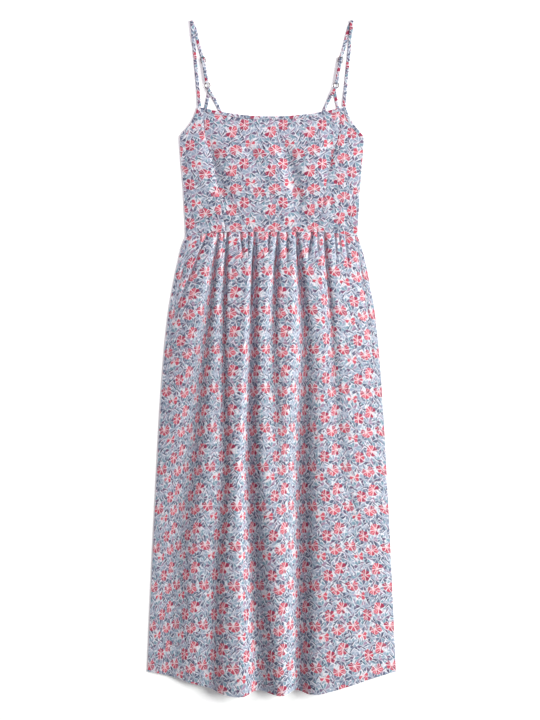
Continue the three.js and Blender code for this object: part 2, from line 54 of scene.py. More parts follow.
# %% Camera
IMAGE_HEIGHT = 720  # pixels
METRES_A_PIXEL = 0.00185
CAMERA_AT = (-0.0032, -0.0014, 3.0)
SENSOR = 36.0  # millimetres


def add_object(name, data):
    made = bpy.data.objects.new(name, data)
    bpy.context.collection.objects.link(made)
    return made


camera = add_object("camera", bpy.data.cameras.new("camera"))
camera.data.sensor_width = SENSOR
camera.data.lens = SENSOR * CAMERA_AT[2] / (IMAGE_HEIGHT * METRES_A_PIXEL)
camera.location = CAMERA_AT
bpy.context.scene.camera = camera
bpy.context.scene.view_settings.view_transform = "Standard"
print(f"lens {camera.data.lens:.1f} mm")

# %% [markdown]
# ## Curves through tables
# A garment's outline is easiest to keep as a short table of measurements. This helper draws a smooth curve
# through such a table and never overshoots it, so a half width between two rows is always sensible.


# %% Curves through tables
def curve_through(at, value):
    at, value = np.asarray(at, float), np.asarray(value, float)
    chord = np.diff(value) / np.diff(at)
    tangent = np.concatenate([chord[:1], np.zeros(len(at) - 2), chord[-1:]])
    before, after = chord[:-1], chord[1:]
    same_way = before * after > 0
    both = np.where(same_way, before + after, 1.0)
    tangent[1:-1] = np.where(same_way, 2 * before * after / both, 0.0)

    def curve(x):
        x = np.clip(np.asarray(x, float), at[0], at[-1])
        i = np.clip(np.searchsorted(at, x, side="right") - 1, 0, len(at) - 2)
        step = at[i + 1] - at[i]
        t = (x - at[i]) / step
        ease = t * t * (3 - 2 * t)
        bend = tangent[i] * t * (1 - t) ** 2 + tangent[i + 1] * t * t * (t - 1)
        return value[i] + (value[i + 1] - value[i]) * ease + step * bend

    return curve


def lerp(a, b, t):
    return a + (b - a) * t


print("between the rows of a table:", curve_through([0, 1, 2], [0, 1, 1])([0.5, 1.5]))

# %% [markdown]
# ## Shells from grids
# Cloth is thin, so each panel is a closed shell: an outer grid of points, an inner one and a rim. Each point
# keeps its place on the flat cloth as a UV map in metres. The print reads that, so a gathered panel squeezes
# its flowers as real gathers do.

# %% Shells from grids
MM = 0.001
CLOTH = 0.7  # millimetres thick
SHARP = 50  # degrees, an edge that stays crisp


def facing_out(points, faces):
    """The faces of a closed form, turned to look outwards."""
    corners = points[faces]
    normal = np.cross(corners[:, 2] - corners[:, 0], corners[:, 3] - corners[:, 1])
    outwards = ((corners.mean(1) - points.mean(0)) * normal).sum() > 0
    return faces if outwards else faces[:, ::-1]


def smooth_mesh(name, points, faces):
    """A smooth mesh from points in millimetres."""
    mesh = bpy.data.meshes.new(name)
    mesh.from_pydata(points * MM, [], faces.tolist())
    mesh.polygons.foreach_set("use_smooth", np.ones(len(faces), bool))
    return mesh


def make_mesh(name, points, faces, cloth, wrong_side):
    """A piece of cloth, with its place on the flat cloth as a UV map."""
    mesh = smooth_mesh(name, points, facing_out(points, faces))
    places = mesh.uv_layers.new(name="Cloth")
    corner_points = np.empty(len(mesh.loops), np.int32)
    mesh.loops.foreach_get("vertex_index", corner_points)
    places.uv.foreach_set("vector", (cloth[corner_points] * MM).astype(np.float32).ravel())
    side = mesh.attributes.new("wrong_side", "FLOAT", "POINT")
    side.data.foreach_set("value", np.asarray(wrong_side, np.float32))
    mesh.set_sharp_from_angle(angle=math.radians(SHARP))
    return add_object(name, mesh)


def grid_faces(index):
    return np.stack([index[:-1, :-1], index[:-1, 1:], index[1:, 1:], index[1:, :-1]], -1).reshape(-1, 4)


def shell(name, outer, inner, cloth):
    """A thin closed piece between two grids, rows by columns by three."""
    rows, columns = outer.shape[:2]
    count = rows * columns
    index = np.arange(count).reshape(rows, columns)
    edge = np.concatenate([index[0, :-1], index[:-1, -1], index[-1, :0:-1], index[:0:-1, 0]])
    after = np.roll(edge, -1)
    rim = np.stack([edge, edge + count, after + count, after], -1)
    faces = np.concatenate([grid_faces(index), grid_faces(index)[:, ::-1] + count, rim])
    points = np.concatenate([outer.reshape(-1, 3), inner.reshape(-1, 3)])
    flat = np.tile(cloth.reshape(-1, 2), (2, 1))
    return make_mesh(name, points, faces, flat, np.repeat([0.0, 1.0], count))


def unit(direction):
    return direction / np.linalg.norm(direction, axis=-1, keepdims=True)


def moved_out(grid, distance):
    """A grid moved square to itself, upwards."""
    down = np.gradient(grid, axis=0)
    across = np.gradient(grid, axis=1)
    out = unit(np.cross(down, across))
    return grid + distance * np.sign(out[..., 2:3]) * out


print("cloth is", CLOTH, "mm thick")

# %% [markdown]
# ## Shader arithmetic
# A print is easier to read as arithmetic than as a picture of nodes. This small class wraps a socket, and its
# operators add Math and Vector Math nodes: each is one of two methods with the node's operation filled in.


# %% Shader arithmetic
class Wire:
    """A node's output that takes part in Python arithmetic."""

    def __init__(self, tree, socket):
        self.tree, self.socket = tree, socket

    def node(self, kind, settings=None, inputs=None, out=0):
        """Any node: its settings first, then values or wires on its sockets."""
        made = self.tree.nodes.new(kind)
        for key, value in (settings or {}).items():
            setattr(made, key, value)
        for key, value in (inputs or {}).items():
            if isinstance(value, Wire):
                self.tree.links.new(value.socket, made.inputs[key])
            else:
                made.inputs[key].default_value = value
        return Wire(self.tree, made.outputs[out])

    def math(self, operation, *others):
        return self.node("ShaderNodeMath", {"operation": operation}, dict(enumerate((self, *others))))

    def vector(self, operation, *others, out=0):
        inputs = dict(enumerate((self, *others)))
        return self.node("ShaderNodeVectorMath", {"operation": operation}, inputs, out)

    def either(self, operation, other, turned=False):
        first, second = (other, self) if turned else (self, other)
        kind = "ShaderNodeVectorMath" if self.socket.type == "VECTOR" else "ShaderNodeMath"
        return self.node(kind, {"operation": operation}, {0: first, 1: second})

    __add__ = partialmethod(either, "ADD")
    __sub__ = partialmethod(either, "SUBTRACT")
    __rsub__ = partialmethod(either, "SUBTRACT", turned=True)
    __mul__ = partialmethod(either, "MULTIPLY")
    __truediv__ = partialmethod(either, "DIVIDE")
    __lt__ = partialmethod(math, "LESS_THAN")
    __gt__ = partialmethod(math, "GREATER_THAN")
    __abs__ = partialmethod(math, "ABSOLUTE")

    def length(self):
        return self.vector("LENGTH", out=1)

    def axes(self):
        split = self.node("ShaderNodeSeparateXYZ", None, {0: self}).socket.node
        return [Wire(self.tree, split.outputs[i]) for i in range(3)]

    def ramp(self, low, high):
        """0 below low and 1 above high, smooth between. Low may be above high."""
        inputs = {"Value": self, "From Min": low, "From Max": high}
        return self.node("ShaderNodeMapRange", {"interpolation_type": "SMOOTHSTEP"}, inputs)

    def mix(self, kind, first, second):
        """First where this is 0 and second where it is 1; kind is FLOAT, VECTOR or RGBA."""
        slot = {"FLOAT": (2, 3, 0), "VECTOR": (4, 5, 1), "RGBA": (6, 7, 2)}[kind]
        inputs = {0: self, slot[0]: first, slot[1]: second}
        return self.node("ShaderNodeMix", {"data_type": kind}, inputs, slot[2])

    def into(self, shader, name):
        self.tree.links.new(self.socket, shader.inputs[name])


def new_material(name, values):
    """A material with plain values on its shader's sockets."""
    material = bpy.data.materials.new(name)
    material.use_nodes = True
    shader = material.node_tree.nodes["Principled BSDF"]
    for key, value in values.items():
        shader.inputs[key].default_value = value
    start = Wire(material.node_tree, shader.outputs[0])
    return material, shader, start


def linear(red, green, blue):
    """A colour as a painter names it, 0 to 255, in the linear values that shaders use."""
    parts = [c / 255 for c in (red, green, blue)]
    return [*(p / 12.92 if p <= 0.04045 else ((p + 0.055) / 1.055) ** 2.4 for p in parts), 1.0]


print("shader arithmetic is ready")

# %% [markdown]
# ## The printed cotton
# The cloth is a light cotton with a small busy print: coral flowers, fans of grey-blue leaves and short dark
# and white strokes on a pale ground. One repeat of flowers and fans is charted: a place on a 72 mm tile, a
# turn and a radius. At each point of the cloth only the nearest motif is drawn. The strokes are scattered by
# cells instead.

# %% The print's chart
REPEAT = 72.0  # millimetres
PETALS, LEAVES = 6.0, 7.0  # of a flower and of a fan
# x, y, turn in radians, radius
CORAL_FLOWERS = [
    (0, 0, 0.3, 12.5), (24, 13, 1.1, 11.5), (36, 49, 0.7, 11.5), (10, 38, 0.1, 12.0), (53, 31, 0.5, 12.5),
]
LEAF_FANS = [
    (0, 53, 0.4, 10.5), (18, 53, 0.0, 10.0), (29, 32, 0.8, 11.5), (51, 5, 0.2, 10.5), (54, 62, 0.6, 11.0),
    (6, 20, 0.5, 10.0), (57, 47, 0.1, 10.0), (41, 17, 0.9, 10.5), (63, 17, 0.25, 10.5), (36, 68, 0.7, 11.5),
    (18, 68, 0.35, 10.5),
]
GROUND = linear(187, 200, 209)
WHITE = linear(228, 225, 233)
PALE_LEAF = linear(152, 164, 184)
LEAF = linear(113, 121, 144)
TEAL = linear(122, 152, 168)
LEAF_DARK = linear(80, 68, 100)
LILAC = linear(162, 136, 162)
DARK = linear(58, 42, 70)
MAUVE = linear(142, 70, 104)
CORAL = linear(205, 88, 105)
CRIMSON = linear(160, 56, 84)
ROSE = linear(212, 144, 158)
CREAM = linear(238, 212, 217)
print("motifs in one repeat:", len(CORAL_FLOWERS) + len(LEAF_FANS))

# %% [markdown]
# Three helpers find the nearest motif of a chart, the petal of it that a point is in, and the stroke of the
# cell that a point is in. A petal or cell also gets its own random numbers, so no two are quite alike.


# %% Motifs
CELL_RANDOMNESS = 0.9
STROKE_LEAN, STROKE_SPREAD = 0.8, 0.45  # radians either way
SOFT_EDGE = 0.35  # millimetres


def nearest(place, chart):
    """The way from the nearest motif's middle in its radii, its length, and the motif's turn and number."""
    half = (REPEAT / 2,) * 3
    best = None
    for number, (x, y, turn, radius) in enumerate(chart):
        away = (place - (x, y, 0.0)).vector("WRAP", half, tuple(-h for h in half))
        away = away * (1 / radius, 1 / radius, 0.0)
        length = away.length()
        if best is None:
            best, best_length, best_turn, best_number = away, length, turn, 0.0
            continue
        closer = length < best_length
        best = closer.mix("VECTOR", best, away)
        best_turn = closer.mix("FLOAT", best_turn, turn)
        best_number = closer.mix("FLOAT", best_number, float(number))
        best_length = best_length.math("MINIMUM", length)
    return best, best_length, best_turn, best_number


def petals(away, turn, number, count):
    """How far across its petal a point lies, -0.5 to 0.5, and that petal's own three random numbers."""
    x, y, _ = away.axes()
    angle = (y.math("ARCTAN2", x) + turn) * (count / math.tau) + (count * 4.0 + 0.5)
    which = angle.math("FLOOR").math("MODULO", count)
    key = away.node("ShaderNodeCombineXYZ", None, {0: which, 1: number, 2: count})
    chance = away.node("ShaderNodeTexWhiteNoise", {"noise_dimensions": "3D"}, {"Vector": key}, 1)
    return angle.math("FRACT") - 0.5, chance.axes()


def strokes(place, spacing, shift):
    """Along and across the stroke of the cell that a point is in, in millimetres, and its random numbers."""
    moved = place + (shift, shift, 0.0)
    inputs = {"Vector": moved, "Scale": 1 / spacing, "Randomness": CELL_RANDOMNESS}
    cells = moved.node("ShaderNodeTexVoronoi", {"voronoi_dimensions": "2D"}, inputs).socket.node
    chance = Wire(place.tree, cells.outputs["Color"]).axes()
    away = moved - Wire(place.tree, cells.outputs["Position"])
    turn = (chance[0] > 0.5) * (2 * STROKE_LEAN) - STROKE_LEAN
    turn = turn + chance[1] * (2 * STROKE_SPREAD) - STROKE_SPREAD
    along, across, _ = away.node(
        "ShaderNodeVectorRotate", {"rotation_type": "Z_AXIS"}, {"Vector": away, "Angle": turn}
    ).axes()
    return along, across, chance


def stroke_shape(along, across, length, width):
    """1 inside a pointed stroke, 0 outside."""
    taper = 1.0 - (along / length) * (along / length)
    return (taper * width - abs(across)).ramp(0.0, SOFT_EDGE)


print("strokes lean", round(math.degrees(STROKE_LEAN)), "degrees either way")

# %% [markdown]
# The layers go on as a printer would lay them: the pale ground, blades of leaf, wheels of petals and leaves
# parted by pale lines, and last the paired strokes, weaker over a flower. A random number from 0 to 1 picks
# each leaf's ink: the values below say from where on it takes the next one.

# %% The print's layers
PETAL_SHORTEST, PETAL_VARIES = 0.7, 0.5  # shares of the motif's radius
LEAF_TIP, LEAF_HALF = (1.2, 0.6), 0.46  # where a leaf narrows, and its half width
PETAL_TIP, PETAL_HALF, PETAL_EDGE = (1.08, 0.8), 0.45, 0.05
BARE_PETALS = 0.16  # share of petals left out
LEAF_FROM, TEAL_FROM, LILAC_FROM = 0.4, 0.55, 0.85
DARK_FROM, DARK_STRENGTH = 0.72, 0.7
CRIMSON_STEP, ROSE_REACH, ROSE_STRENGTH = (0.55, 1.0), (0.6, 1.0), 0.6
GAP_EDGE, GAP_REACH, GAP_STRENGTH, GAP_ON_FLOWERS = (0.085, 0.035), (1.2, 1.0), 0.45, 0.35
VEIN_EDGE, VEIN_REACH, VEIN_STRENGTH = (0.04, 0.015), (0.9, 0.8), 0.8
# millimetres
STROKE_EVERY, STROKE_SHIFT, STROKE_LENGTH, PAIR_GAP = 11.5, 7.0, 7.5, 2.0
DARK_STROKE, PALE_STROKE = 0.85, 0.9
BLADE_EVERY, BLADE_SHIFT, BLADE_LENGTH, BLADE_WIDTH = 11.0, 3.0, 8.5, 2.4
WOBBLE, WOBBLE_SCALE, DAB_SCALE, DAB_STEP = 2.5, 0.12, 0.3, (0.4, 0.65)


def wheel_layers(place, colour, dabs):
    away, length, turn, number = nearest(place, CORAL_FLOWERS + LEAF_FANS)
    coral = number < len(CORAL_FLOWERS) - 0.5
    across, chance = petals(away, turn, number, coral.mix("FLOAT", LEAVES, PETALS))
    side = abs(across)
    share = length / (chance[0] * PETAL_VARIES + PETAL_SHORTEST)
    edge = coral.mix("FLOAT", share.ramp(*LEAF_TIP) * LEAF_HALF, share.ramp(*PETAL_TIP) * PETAL_HALF)
    bare = coral * (chance[2] < BARE_PETALS)
    shape = (edge - side).ramp(0.0, PETAL_EDGE) * (1.0 - bare)

    grey_leaf = (chance[1] > TEAL_FROM).mix("RGBA", LEAF, TEAL)
    leaf = (chance[1] > LEAF_FROM).mix("RGBA", PALE_LEAF, grey_leaf)
    leaf = (chance[1] > LILAC_FROM).mix("RGBA", leaf, LILAC)
    leaf = ((chance[2] > DARK_FROM) * DARK_STRENGTH).mix("RGBA", leaf, LEAF_DARK)
    petal = (chance[1] * 0.8 + dabs * 0.5).ramp(*CRIMSON_STEP).mix("RGBA", CORAL, CRIMSON)
    petal = (length.ramp(*ROSE_REACH) * (chance[2] > 0.5) * ROSE_STRENGTH).mix("RGBA", petal, ROSE)
    colour = shape.mix("RGBA", colour, coral.mix("RGBA", leaf, petal))
    line = coral.mix("RGBA", WHITE, CREAM)
    gap = ((0.5 - side) * length).ramp(*GAP_EDGE) * length.ramp(*GAP_REACH)
    colour = (gap * (coral * GAP_ON_FLOWERS + GAP_STRENGTH)).mix("RGBA", colour, line)
    vein = (side * length).ramp(*VEIN_EDGE) * length.ramp(*VEIN_REACH) * (chance[0] > 0.5) * coral
    return (vein * VEIN_STRENGTH).mix("RGBA", colour, line), coral * shape


def stroke_layers(place, colour, flower):
    along, across, chance = strokes(place, STROKE_EVERY, STROKE_SHIFT)
    dark = stroke_shape(along, across, STROKE_LENGTH, DARK_STROKE)
    pale = stroke_shape(along, across - PAIR_GAP, STROKE_LENGTH, PALE_STROKE)
    colour = (pale * (0.9 - flower * 0.55)).mix("RGBA", colour, WHITE)
    ink = (chance[2] > 0.5).mix("RGBA", MAUVE, DARK)
    return (dark * (chance[2] * 0.4 + 0.6 - flower * 0.3)).mix("RGBA", colour, ink)


def flat_noise(start, place, **inputs):
    return start.node("ShaderNodeTexNoise", {"noise_dimensions": "2D"}, {"Vector": place, **inputs})


def print_colour(start):
    """The print's colour over the flat cloth."""
    cloth = start.node("ShaderNodeUVMap", {"uv_map": "Cloth"}) * (1000.0, 1000.0, 0.0)
    wobble = Wire(start.tree, flat_noise(start, cloth, Scale=WOBBLE_SCALE).socket.node.outputs["Color"])
    place = cloth + wobble.vector("SUBTRACT", (0.5, 0.5, 0.5)) * (WOBBLE, WOBBLE, 0.0)
    dabs = flat_noise(start, cloth, Scale=DAB_SCALE)
    colour = dabs.ramp(*DAB_STEP).mix("RGBA", GROUND, WHITE)
    along, across, chance = strokes(place, BLADE_EVERY, BLADE_SHIFT)
    blades = stroke_shape(along, across, BLADE_LENGTH, BLADE_WIDTH)
    blade = (chance[2] > 0.75).mix("RGBA", (chance[2] > 0.35).mix("RGBA", LEAF, TEAL), LILAC)
    colour = (blades * 0.9).mix("RGBA", colour, blade)
    colour, flower = wheel_layers(place, colour, dabs)
    return stroke_layers(place, colour, flower), cloth


print("a dark and a pale stroke about every", STROKE_EVERY, "mm")

# %% [markdown]
# The print lies on a plain weave. A fine bump gives the threads and a slow one the crinkle of washed cotton.
# On the wrong side the print is paler.


# %% Printed cotton
WRONG_SIDE, WRONG_SIDE_FADE = linear(226, 226, 230), 0.45
THREAD_PITCH = 0.6  # millimetres
WEAVE_RISE, CRINKLE_RISE, CRINKLE_SCALE = 0.05, 1.4, 0.07


def printed_cotton():
    soft = {"Sheen Weight": 0.08, "Sheen Roughness": 0.5, "Specular IOR Level": 0.2}
    material, shader, start = new_material("printed_cotton", soft)
    colour, cloth = print_colour(start)
    wrong = start.node("ShaderNodeAttribute", {"attribute_name": "wrong_side"}, out=2)
    colour = (wrong * WRONG_SIDE_FADE).mix("RGBA", colour, WRONG_SIDE)
    colour.into(shader, "Base Color")

    threads = cloth * (math.tau / THREAD_PITCH, math.tau / THREAD_PITCH, 0.0)
    warp, weft, _ = threads.axes()
    weave = warp.math("SINE") * weft.math("SINE")
    crinkle = flat_noise(start, cloth, Scale=CRINKLE_SCALE, Detail=3.0)
    height = weave * WEAVE_RISE + crinkle * CRINKLE_RISE
    bump = start.node("ShaderNodeBump", None, {"Height": height, "Strength": 0.6, "Distance": 0.001})
    bump.into(shader, "Normal")
    (weave * 0.05 + 0.84).into(shader, "Roughness")
    return material


cotton = printed_cotton()
print("printed cotton:", len(cotton.node_tree.nodes), "nodes")

# %% [markdown]
# ## The skirt
# The skirt is a wide piece gathered into the waist seam. A few gathers run on to the hem as long folds. Each
# row of the table is one trough: where it runs, how deep and wide it is, and where it fades. The cloth stands
# off the back between the troughs, and each trough takes a share of that height away.

# %% Skirt sizes
REST = CLOTH + 0.25  # underside of the front where it lies on the back
WAIST_GAP = 0.2  # between bodice and skirt
WAIST_Y, WAIST_HALF, WAIST_SIDE_DROP, WAIST_POWER = 235.0, 159.0, 9.0, 5
SKIRT_SIDE, SKIRT_MIDDLE = 803.0, 839.0
HEM_FLAT, HEM_POWER = 0.3, 1.25
HEM_SWING, HEM_SWING_POWER, HEM_SWING_LEAN = 17.0, 6, 0.35
BACK_HEM_SHORT, BACK_INSET = 6.0, 1.0
SKIRT_SEAM_LIFT, SKIRT_CROWN, SKIRT_RISE = 5.0, 27.0, 75.0
SKIRT_ARCH_LEFT, SKIRT_ARCH_RIGHT = 1.65, 2.73
SKIRT_CUT = 596.0  # width of the front skirt before it is gathered
# distance below the waist, half width
SKIRT_OUTLINE = [
    (0, 159), (10, 163.5), (24, 168), (45, 172.5), (67, 177.5),
    (152, 192), (274, 203), (459, 213.5), (644, 222.5), (803, 229.4),
]
STATIONS = [0, 0.25, 0.5, 0.75, 1]
WIDTH_STATIONS = [0, 0.5, 1]
# trough's X at each station, its depth there, its width at waist, middle and hem, its reach, and its skew
FRONT_FOLDS = [
    ([-150, -192, -200, -210, -218], [0.62, 0.35, 0.11, 0, 0], [5, 15, 21], 0.6, 0),
    ([-121, -190, -196, -204, -210], [0.8, 0.4, 0, 0, 0], [4, 11, 11], 0.2, 0),
    ([-100, -128, -158, -186, -196], [0.85, 0.51, 0.78, 0.93, 0.93], [5, 48, 73], 2, -0.2),
    ([-82, -92, -93, -110, -121], [0.85, 0.3, 0.4, 0.48, 0.57], [4.5, 30, 52], 2, -0.34),
    ([-58, -40, -45, -50, -52], [0.8, 0.3, 0, 0, 0], [4, 8, 8], 0.055, 0),
    ([-33, -40, -45, -38, -25], [0.85, 0.48, 0.66, 0.78, 0.93], [5, 23, 40], 2, 0.28),
    ([-6, -10, -10, 1, 14], [0.6, 0.3, 0, 0, 0], [4, 8, 8], 0.05, 0),
    ([11, -1, 11, 28, 30], [0.85, 0.27, 0.35, 0, 0], [4.5, 30, 20], 0.8, 0),
    ([28, 26, 32, 38, 40], [0.45, 0.3, 0, 0, 0], [4, 8, 8], 0.07, 0),
    ([45, 55, 48, 47, 45], [0.8, 0.48, 0.81, 0.93, 0.93], [4, 36, 33], 2, 0.15),
    ([74, 45, 60, 70, 80], [0.8, 0.3, 0, 0, 0], [4, 8, 8], 0.06, 0),
    ([84, 90, 104, 112, 118], [0.7, 0.3, 0, 0, 0], [4, 8, 8], 0.05, 0),
    ([97, 110, 127, 161, 178], [0.7, 0.26, 0.22, 0.2, 0.32], [4.5, 25, 25], 1, -0.14),
    ([136, 148, 163, 184, 198], [0.75, 0.3, 0, 0, 0], [4, 9, 9], 0.07, 0),
    ([155, 184, 197, 206, 214], [0.6, 0.35, 0.1, 0, 0], [5, 16, 16], 0.5, 0),
]
# short puckers between them: X at the waist and below it, depth, width at the waist and below it, reach
PUCKERS = [
    (-90, -94, 0.7, 3.5, 6, 0.045), (-44, -42, 0.35, 3.5, 6, 0.05), (117, 124, 0.7, 3.5, 7, 0.06),
    (124, 136, 0.6, 3.5, 6, 0.045), (-131, -150, 0.5, 4, 7, 0.05),
]
for top, low, depth, narrow, wide, reach in PUCKERS:
    FRONT_FOLDS.append(([top] + [low] * 4, [depth, 0.3, 0, 0, 0], [narrow, wide, wide], reach, 0))
skirt_half = curve_through(*zip(*SKIRT_OUTLINE))
folds = []
for path, depth, width, reach, skew in FRONT_FOLDS:
    path, depth = curve_through(STATIONS, path), curve_through(STATIONS, depth)
    folds.append((path, depth, curve_through(WIDTH_STATIONS, width), reach, skew))


def waist_seam(x):
    return WAIST_Y - WAIST_SIDE_DROP * np.abs(x / WAIST_HALF) ** WAIST_POWER


def skirt_length(across):
    past = np.maximum(0, np.abs(across) - HEM_FLAT) / (1 - HEM_FLAT)
    return lerp(SKIRT_MIDDLE, SKIRT_SIDE, past**HEM_POWER)


def fold_depth(fold, down):
    _, depth, _, reach, _ = fold
    return depth(down) * np.clip(1 - down / reach, 0, 1) ** 0.5


def fold_away(fold, x, down):
    """Distance from a trough in its own widths; a skewed trough is wider on one side."""
    path, _, width, _, skew = fold
    away = (x - path(down)) / width(down)
    return away / (1 + skew * np.tanh(2 * away))


print("folds in the front skirt:", len(folds))

# %% [markdown]
# ## The front skirt
# The grid has many columns, so even a narrow gather has enough points. A point's place on the flat cut is the
# way walked over the folds to it, and cloth that is still left over goes into the troughs.

# %% Front skirt
ROWS, COLUMNS = 144, 331
ROWS_CROWD = 0.4  # rows lie closer near the waist
THREAD_LIFT = 0.12  # of a stitch's middle above the cloth
SKIRT_PRINT = (17.0, 40.0)  # where the cut lies on the print
HEM_DEPTH = 12.0  # millimetres from the edge to the hem's stitches
GATHERS, GATHER_RISE, GATHER_REACH = 14, 1.3, 0.11


def gather_rise(across, down):
    fade = np.clip(1 - down / GATHER_REACH, 0, 1) ** 2
    return GATHER_RISE * fade * np.sin(math.pi * GATHERS * (across + 1) / 2) ** 4


def skirt_arch(across):
    power = np.where(across < 0, SKIRT_ARCH_LEFT, SKIRT_ARCH_RIGHT)
    return 1 - np.abs(across) ** power


def dip(away):
    """1 in the middle of a trough and a half at half its width from there."""
    return np.exp(-4 * math.log(2) * away**2)


def left_of_folds(x, down):
    """The share of the height that the troughs leave."""
    share = np.ones_like(x)
    for fold in folds:
        share *= 1 - fold_depth(fold, down) * dip(fold_away(fold, x, down))
    return share


def front_lift(across, down):
    """How far the front stands off where it would lie flat."""
    risen = 1 - np.exp(-down * SKIRT_MIDDLE / SKIRT_RISE)
    crown = lerp(SKIRT_SEAM_LIFT, SKIRT_CROWN, risen) * skirt_arch(across)
    return crown * left_of_folds(across * skirt_half(down * SKIRT_SIDE), down)


def skirt_grid(rows, columns, crowd):
    """How far across, -1 to 1, and how far down, 0 to 1, each point of a skirt lies."""
    spread = np.linspace(0, 1, rows)[:, None]
    return np.broadcast_arrays(np.linspace(-1, 1, columns)[None, :], crowd * spread**2 + (1 - crowd) * spread)


across, down = skirt_grid(ROWS, COLUMNS, ROWS_CROWD)
x = across * skirt_half(down * SKIRT_SIDE)

swallowed, weights = np.zeros_like(x), np.zeros_like(x)
for fold in folds:
    weight = fold_depth(fold, down) * fold[2](down) + 1e-6
    swallowed += weight * (0.5 + 0.5 * np.tanh(2 * fold_away(fold, x, down)))
    weights += weight

swing = HEM_SWING * (1 - HEM_SWING_LEAN * across) * down**HEM_SWING_POWER
swing = swing * left_of_folds(x, down) * skirt_arch(across)
y = waist_seam(across * WAIST_HALF) - WAIST_GAP - down * skirt_length(across) - swing
z = REST + gather_rise(across, down) + front_lift(across, down)
under = np.stack([x, y, z], -1)

walk = np.hypot(np.diff(x, axis=1), np.diff(z, axis=1))
walk = np.concatenate([np.zeros((ROWS, 1)), np.cumsum(walk, axis=1)], axis=1)
spare = SKIRT_CUT - walk[:, -1:]
flat_x = walk - walk[:, -1:] / 2 + spare * (swallowed / weights - 0.5)
print("over the folds from side to side, at waist, middle and hem:", walk[[0, ROWS // 2, -1], -1].round())
flat_y = -down * skirt_length(across)
cloth = -np.stack([flat_x + SKIRT_PRINT[0], flat_y + SKIRT_PRINT[1]], -1)
front_skirt = shell("front_skirt_cloth", moved_out(under, CLOTH), under, cloth)
hem_row = np.searchsorted(down[:, 0], 1 - HEM_DEPTH / SKIRT_MIDDLE)
hem_line = moved_out(under, CLOTH + THREAD_LIFT)[hem_row, 2:-2]
print("front skirt:", len(front_skirt.data.polygons), "faces, highest", round(float(z.max()), 1), "mm")

# %% [markdown]
# ## The back skirt
# The back lies under the front on the ground. Its gathers are shallow, and below them it follows the front's
# folds at a small part of their height.

# %% Back skirt
BACK_CUT = 470.0
BACK_LIFT = 0.15
across, down = skirt_grid(rows=70, columns=141, crowd=0.5)
x = across * (skirt_half(down * SKIRT_SIDE) - BACK_INSET)
y = waist_seam(across * WAIST_HALF) - WAIST_GAP - down * (skirt_length(across) - BACK_HEM_SHORT)
under = np.stack([x, y, gather_rise(across, down) + BACK_LIFT * front_lift(across, down)], -1)
cloth = np.stack([across * BACK_CUT / 2, -down * skirt_length(across)], -1)
back_skirt = shell("back_skirt_cloth", under + [0, 0, CLOTH], under, cloth)
print("back skirt:", len(back_skirt.data.polygons), "faces")

# %% [markdown]
# ## The bodice
# The front bodice has three panels that meet at two curved seams from the neckline to the waist. They share
# one height, low at the edges and fuller over the bust. Each is cut from its own place in the print, so the
# flowers don't meet at the seams.

# %% Bodice sizes
CORNER_Y, NECK_Y, BACK_NECK_Y, UNDERARM_Y = 466.5, 448.0, 440.0, 407.5
NECK_RISE, NECK_HALF = 18.0, 133.4
SEAM_GAP = 0.16
BODICE_OUTLINE = [
    (226, 159), (244, 159.3), (281, 161.5), (318, 163.5), (371, 168), (407.5, 170.2),
    (415, 166.8), (430, 154.2), (439, 148), (451, 141.8), (466.5, 136.8),
]
PRINCESS_SEAM = [(235, 83), (267, 91), (354, 105.5), (424, 124), (466, 127)]
BODICE_CROWN = [(226, 5), (290, 7), (370, 8.5), (430, 4), (468, 1)]
BODICE_ARCH = 3
GROOVE_DEPTH, GROOVE_WIDTH = 0.6, 2.2
CREASE_SPILL = 0.15  # how far a crease fades past its ends, as a share of its length
# from y, to y, X at its start, middle and end, depth as a share of the height, width
BODICE_CREASES = [
    (424, 300, [-122, -108, -94], 0.75, 22),
    (330, 262, [-96, -84, -66], 0.3, 18),
    (404, 268, [18, 38, 48], 0.7, 24),
    (424, 338, [116, 107, 99], 0.55, 18),
    (404, 350, [-48, -37, -26], 0.35, 18),
]
bodice_half = curve_through(*zip(*BODICE_OUTLINE))
princess_seam = curve_through(*zip(*PRINCESS_SEAM))
bodice_crown = curve_through(*zip(*BODICE_CROWN))


def neckline(x):
    return NECK_Y + NECK_RISE * (x / NECK_HALF) ** 2


def bodice_creases(x, y):
    """The share of the height that the soft creases leave."""
    share = np.ones_like(x)
    for top, bottom, path, depth, width in BODICE_CREASES:
        along = np.clip((top - y) / (top - bottom), -2 * CREASE_SPILL, 1 + 2 * CREASE_SPILL)
        middle = curve_through(WIDTH_STATIONS, path)(along)
        fade = np.clip(np.sin(math.pi * (along + CREASE_SPILL) / (1 + 2 * CREASE_SPILL)), 0, 1)
        share = share * (1 - depth * fade * dip((x - middle) / width))
    return share


def bodice_under(x, y):
    across = np.clip(np.abs(x) / bodice_half(y), 0, 1)
    lift = bodice_crown(y) * (1 - across**BODICE_ARCH) * bodice_creases(x, y)
    from_seam = np.abs(x) - princess_seam(y)
    groove = GROOVE_DEPTH * np.exp(-((from_seam / GROOVE_WIDTH) ** 2)) * np.clip(lift, 0, 1)
    return REST + lift - groove


def bodice_panel(name, x, y, offset):
    under = np.stack([x, y, bodice_under(x, y)], -1)
    cloth = np.stack([x + offset[0], y + offset[1]], -1)
    return shell(name, under + [0, 0, CLOTH], under, cloth)


print("bust laid flat:", round(2 * float(bodice_half(UNDERARM_Y))), "mm")

# %% [markdown]
# ## The front bodice
# The middle panel is a grid between its two seams, from the waist up to the neckline. A side panel goes on
# from there to the side and the armhole. It is drawn once and mirrored.

